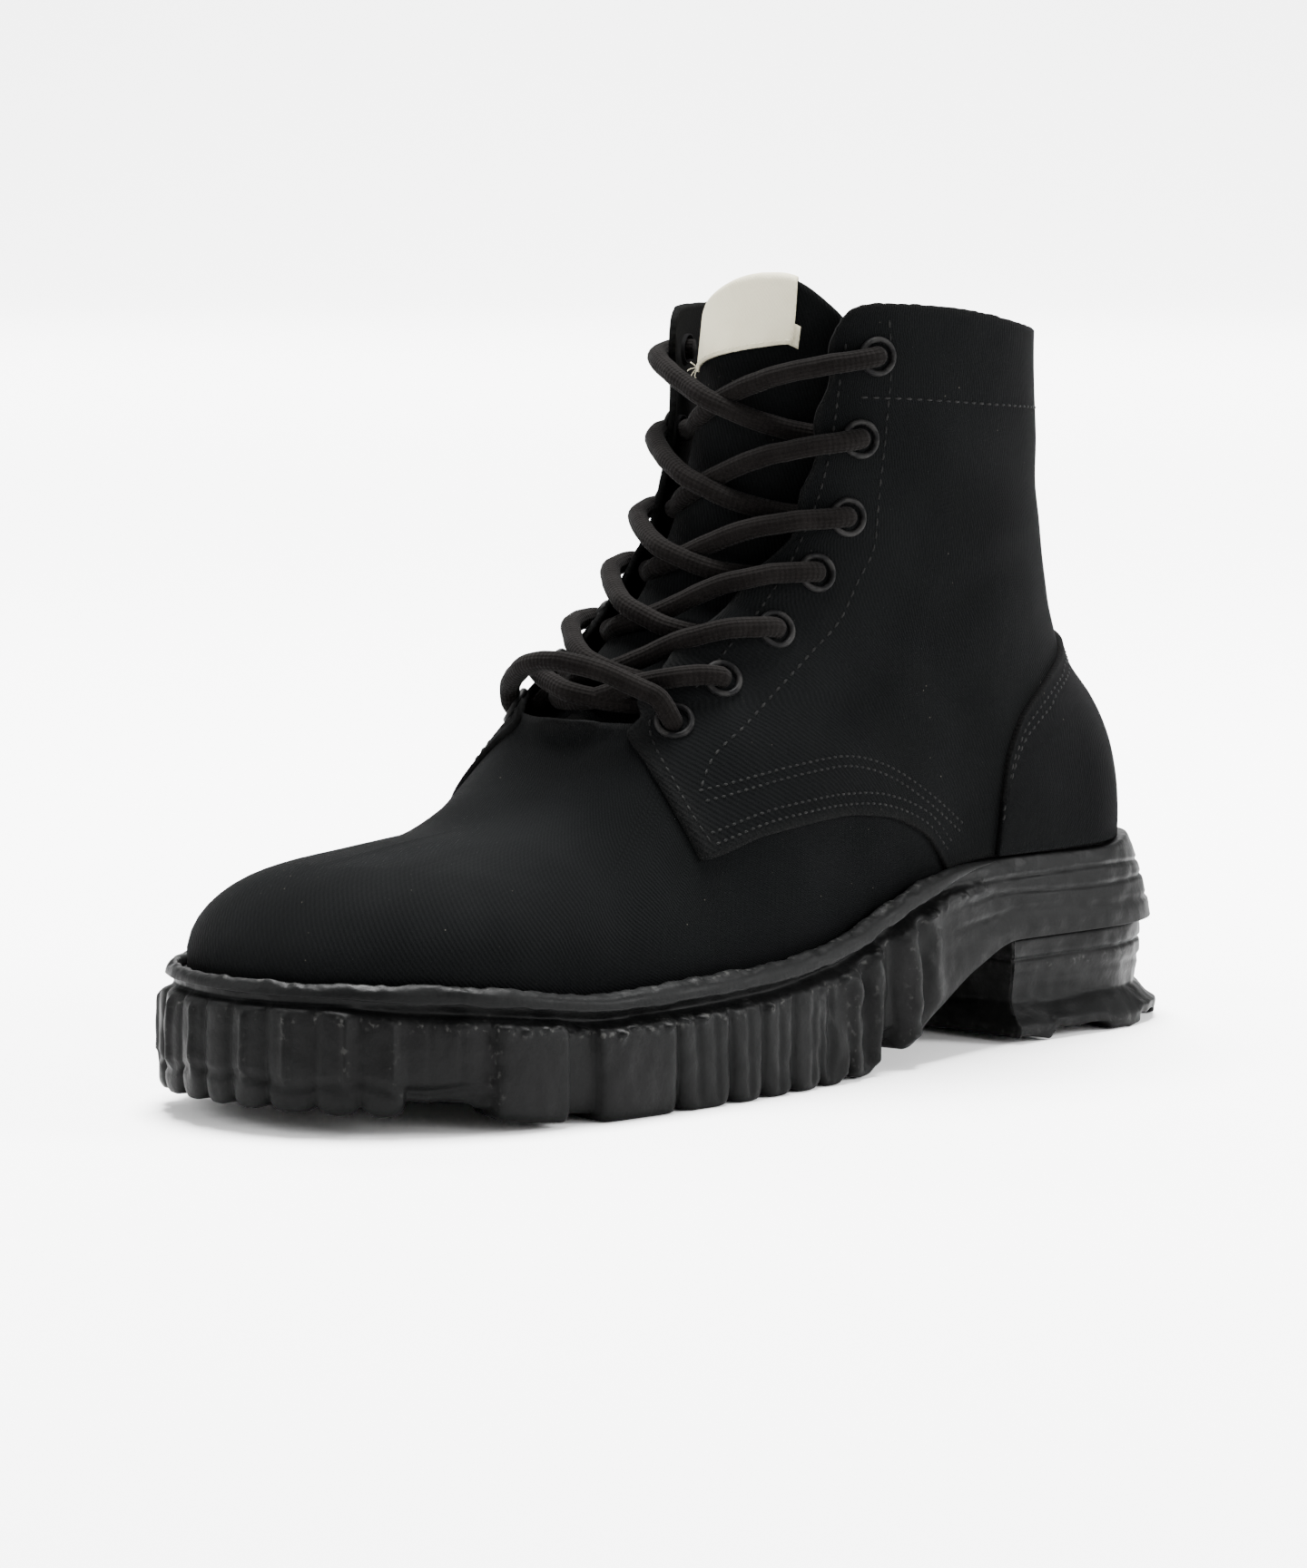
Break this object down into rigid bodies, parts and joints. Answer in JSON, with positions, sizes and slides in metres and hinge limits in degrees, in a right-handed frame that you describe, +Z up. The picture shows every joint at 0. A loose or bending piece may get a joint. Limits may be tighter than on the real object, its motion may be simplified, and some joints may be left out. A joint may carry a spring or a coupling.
{
  "type": "canvas lace-up boot",
  "caption": "Ankle-high left derby boot with a hollow canvas upper, open collar, laced throat, heel counter and a thick lugged rubber sole with welt and heel; stands empty on its sole.",
  "frame": {"origin": "on the floor, under the middle of the sole's length and width", "axes": "+Z up, -Y to the toe, +Y to the heel, +X to the outer side of the left foot"},
  "size_m": [0.108, 0.2889, 0.1862],
  "materials": {
    "canvas": "matte black twill canvas",
    "rubber": "satin hand-shaped black rubber",
    "lace_cotton": "brown-black round cotton cord",
    "eyelet_black": "black enamel",
    "cream_tape": "bare cream woven tape",
    "insole_board": "dark felt lining"
  },
  "bodies": {
    "root": {"outsole": "rubber", "heel": "rubber", "welt": "rubber", "insole": "insole_board", "upper": "canvas", "counter": "canvas", "backstay": "canvas", "tongue": "canvas", "tongue_tape": "cream_tape", "eyelet_left_1": "eyelet_black", "eyelet_left_2": "eyelet_black", "eyelet_left_3": "eyelet_black", "eyelet_left_4": "eyelet_black", "eyelet_left_5": "eyelet_black", "eyelet_left_6": "eyelet_black", "eyelet_left_7": "eyelet_black", "eyelet_right_1": "eyelet_black", "eyelet_right_2": "eyelet_black", "eyelet_right_3": "eyelet_black", "eyelet_right_4": "eyelet_black", "eyelet_right_5": "eyelet_black", "eyelet_right_6": "eyelet_black", "eyelet_right_7": "eyelet_black", "lace_bar": "lace_cotton", "lace_cross_1": "lace_cotton", "lace_cross_2": "lace_cotton", "lace_cross_3": "lace_cotton", "lace_cross_4": "lace_cotton", "lace_cross_5": "lace_cotton", "lace_cross_6": "lace_cotton"}
  },
  "joints": []
}
